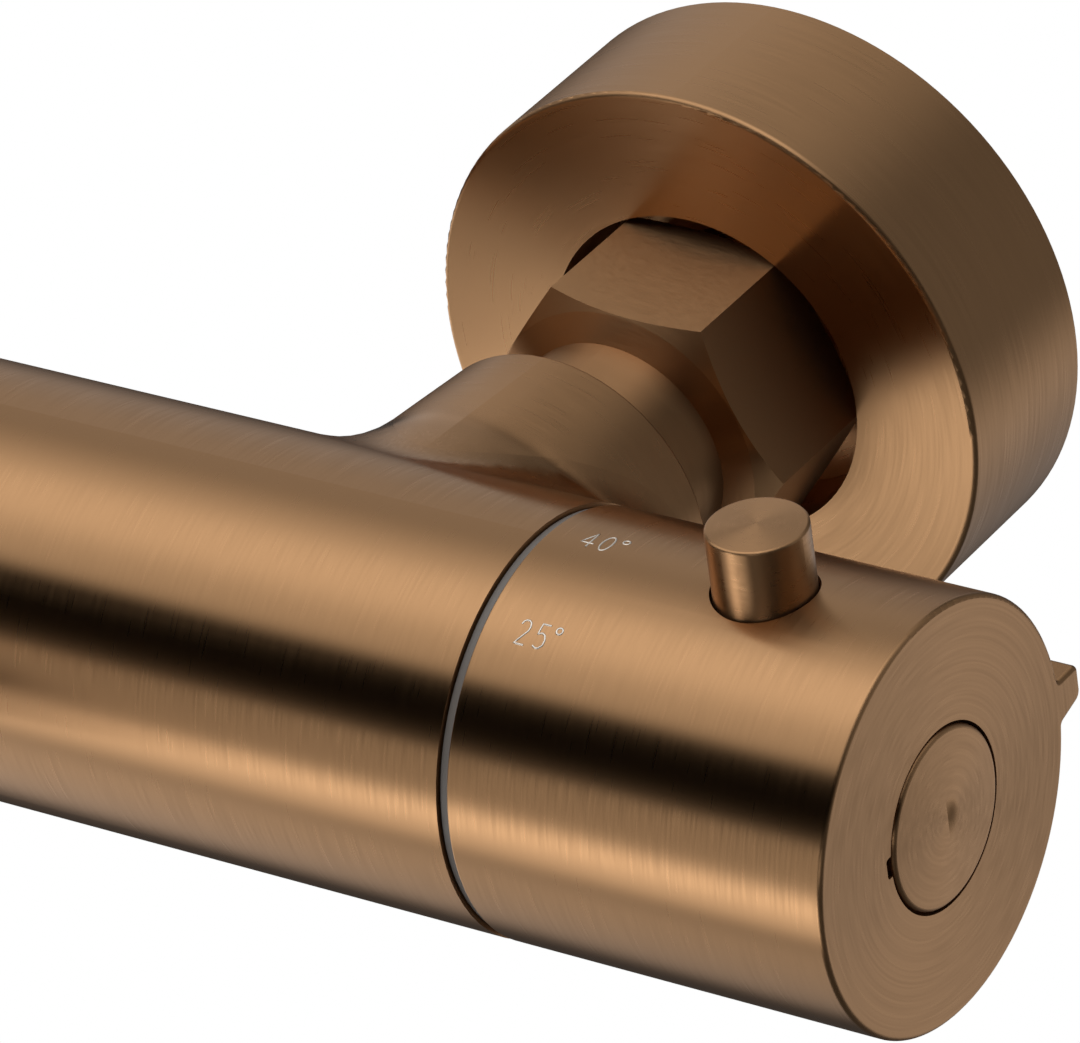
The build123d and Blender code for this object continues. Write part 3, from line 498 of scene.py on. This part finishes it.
# Studio: soft boxes round the mixer and a dark flag, in a dim room. Each is placed by its turn round
# the bar, in degrees from straight up towards the front, and by its side, from -1 left to 1 right.
# half and reach are half its width each way, and soft and fade how far its edges are blurred.
studio = {
    "room": 0.065,
    "flag": {"turn": 58.5, "half": 15.5, "soft": 4, "dark": 0.97},
    "boxes": [
        {"turn": -2, "half": 44, "soft": 16, "side": -0.14, "reach": 0.60, "fade": 0.25, "bright": 0.40},
        {"turn": 17, "half": 27, "soft": 8, "side": -0.61, "reach": 0.89, "fade": 0.28, "bright": 0.44},
        {"turn": -3, "half": 22, "soft": 11, "side": -0.30, "reach": 0.53, "fade": 0.14, "bright": 0.48},
        {"turn": -79, "half": 57, "soft": 20, "side": 0.67, "reach": 0.49, "fade": 0.23, "bright": 0.14},
        {"turn": -128, "half": 11, "soft": 11, "side": 0.19, "reach": 0.44, "fade": 0.20, "bright": 0.61},
        {"turn": -72, "half": 24, "soft": 9, "side": -0.87, "reach": 0.55, "fade": 0.29, "bright": 0.50},
        {"turn": 119, "half": 11, "soft": 5, "side": -0.37, "reach": 0.35, "fade": 0.27, "bright": 1.55},
        {"turn": 166, "half": 25, "soft": 8, "side": -1.02, "reach": 0.40, "fade": 0.36, "bright": 2.27},
        {"turn": 100, "half": 20, "soft": 4, "side": -0.45, "reach": 0.12, "fade": 0.10, "bright": 1.18},
        {"turn": 91, "half": 6.5, "soft": 4.5, "side": 0.37, "reach": 0.19, "fade": 0.19, "bright": 0.79},
    ],
    "floorBelow": 1.0,
    "floorSize": 12.0,
}


# 1 well within half of the middle and 0 well outside, blurred by soft on either side of the edge
def softEdge(tree, value, middle, half, soft, wrap):
    away = addNode(tree, "ShaderNodeMath", {"operation": "SUBTRACT"}, {0: value}, {1: middle}).outputs[0]
    if wrap:
        away = addNode(tree, "ShaderNodeMath", {"operation": "WRAP"},
                       {0: away}, {1: 180.0, 2: -180.0}).outputs[0]
    away = addNode(tree, "ShaderNodeMath", {"operation": "ABSOLUTE"}, {0: away}).outputs[0]
    return addNode(tree, "ShaderNodeMapRange", {"interpolation_type": "SMOOTHSTEP"}, {"Value": away},
                   {"From Min": half + soft, "From Max": half - soft,
                    "To Min": 0.0, "To Max": 1.0}).outputs[0]


def buildWorld():
    world = bpy.data.worlds.new("studio")
    bpy.context.scene.world = world
    world.use_nodes = True
    tree = world.node_tree
    tree.nodes.clear()
    way = addNode(tree, "ShaderNodeTexCoord").outputs["Generated"]
    side, depth, height = addNode(tree, "ShaderNodeSeparateXYZ", links={0: way}).outputs
    front = addNode(tree, "ShaderNodeMath", {"operation": "MULTIPLY"}, {0: depth}, {1: -1.0}).outputs[0]
    angle = addNode(tree, "ShaderNodeMath", {"operation": "ARCTAN2"}, {0: front, 1: height}).outputs[0]
    turn = addNode(tree, "ShaderNodeMath", {"operation": "DEGREES"}, {0: angle}).outputs[0]
    light = None
    for box in studio["boxes"]:
        across = softEdge(tree, turn, box["turn"], box["half"], box["soft"], True)
        along = softEdge(tree, side, box["side"], box["reach"], box["fade"], False)
        both = addNode(tree, "ShaderNodeMath", {"operation": "MULTIPLY"}, {0: across, 1: along}).outputs[0]
        total = addNode(tree, "ShaderNodeMath", {"operation": "MULTIPLY_ADD"},
                        {0: both}, {1: box["bright"]})
        if light is None:
            total.inputs[2].default_value = studio["room"]
        else:
            tree.links.new(light, total.inputs[2])
        light = total.outputs[0]
    flag = studio["flag"]
    shade = softEdge(tree, turn, flag["turn"], flag["half"], flag["soft"], True)
    unshaded = addNode(tree, "ShaderNodeMath", {"operation": "MULTIPLY_ADD"},
                       {0: shade}, {1: -flag["dark"], 2: 1.0}).outputs[0]
    light = addNode(tree, "ShaderNodeMath", {"operation": "MULTIPLY"}, {0: light, 1: unshaded}).outputs[0]
    # the camera itself sees plain white
    seen = addNode(tree, "ShaderNodeLightPath").outputs["Is Camera Ray"]
    mix = addNode(tree, "ShaderNodeMix", {"data_type": "FLOAT"}, {"Factor": seen, "A": light}, {"B": 1.0})
    background = addNode(tree, "ShaderNodeBackground", {}, {"Strength": mix.outputs[0]},
                         {"Color": (1, 1, 1, 1)})
    addNode(tree, "ShaderNodeOutputWorld", links={"Surface": background.outputs[0]})


buildWorld()
bpy.context.scene.view_settings.view_transform = "Standard"

# Pale floor, far below: the mixer hangs on a wall about a metre up
bpy.ops.object.select_all(action="DESELECT")
bpy.ops.mesh.primitive_plane_add(size=studio["floorSize"], location=(0, 0, -studio["floorBelow"]))
floor = bpy.context.active_object
floor.name = "floor"
paper = bpy.data.materials.new("white paper")
paper.use_nodes = True
paperTree = paper.node_tree
paperTree.nodes.clear()
seenWhite = addNode(paperTree, "ShaderNodeEmission", {}, {}, {"Color": (1, 1, 1, 1), "Strength": 1.0})
matt = addNode(paperTree, "ShaderNodeBsdfDiffuse", {}, {}, {"Color": (0.8, 0.8, 0.8, 1)})
byCamera = addNode(paperTree, "ShaderNodeLightPath").outputs["Is Camera Ray"]
choice = addNode(paperTree, "ShaderNodeMixShader", {},
                 {0: byCamera, 1: matt.outputs[0], 2: seenWhite.outputs[0]})
addNode(paperTree, "ShaderNodeOutputMaterial", links={"Surface": choice.outputs[0]})
floor.data.materials.append(paper)
floor.visible_glossy = False
floor.visible_diffuse = False
print("studio done")
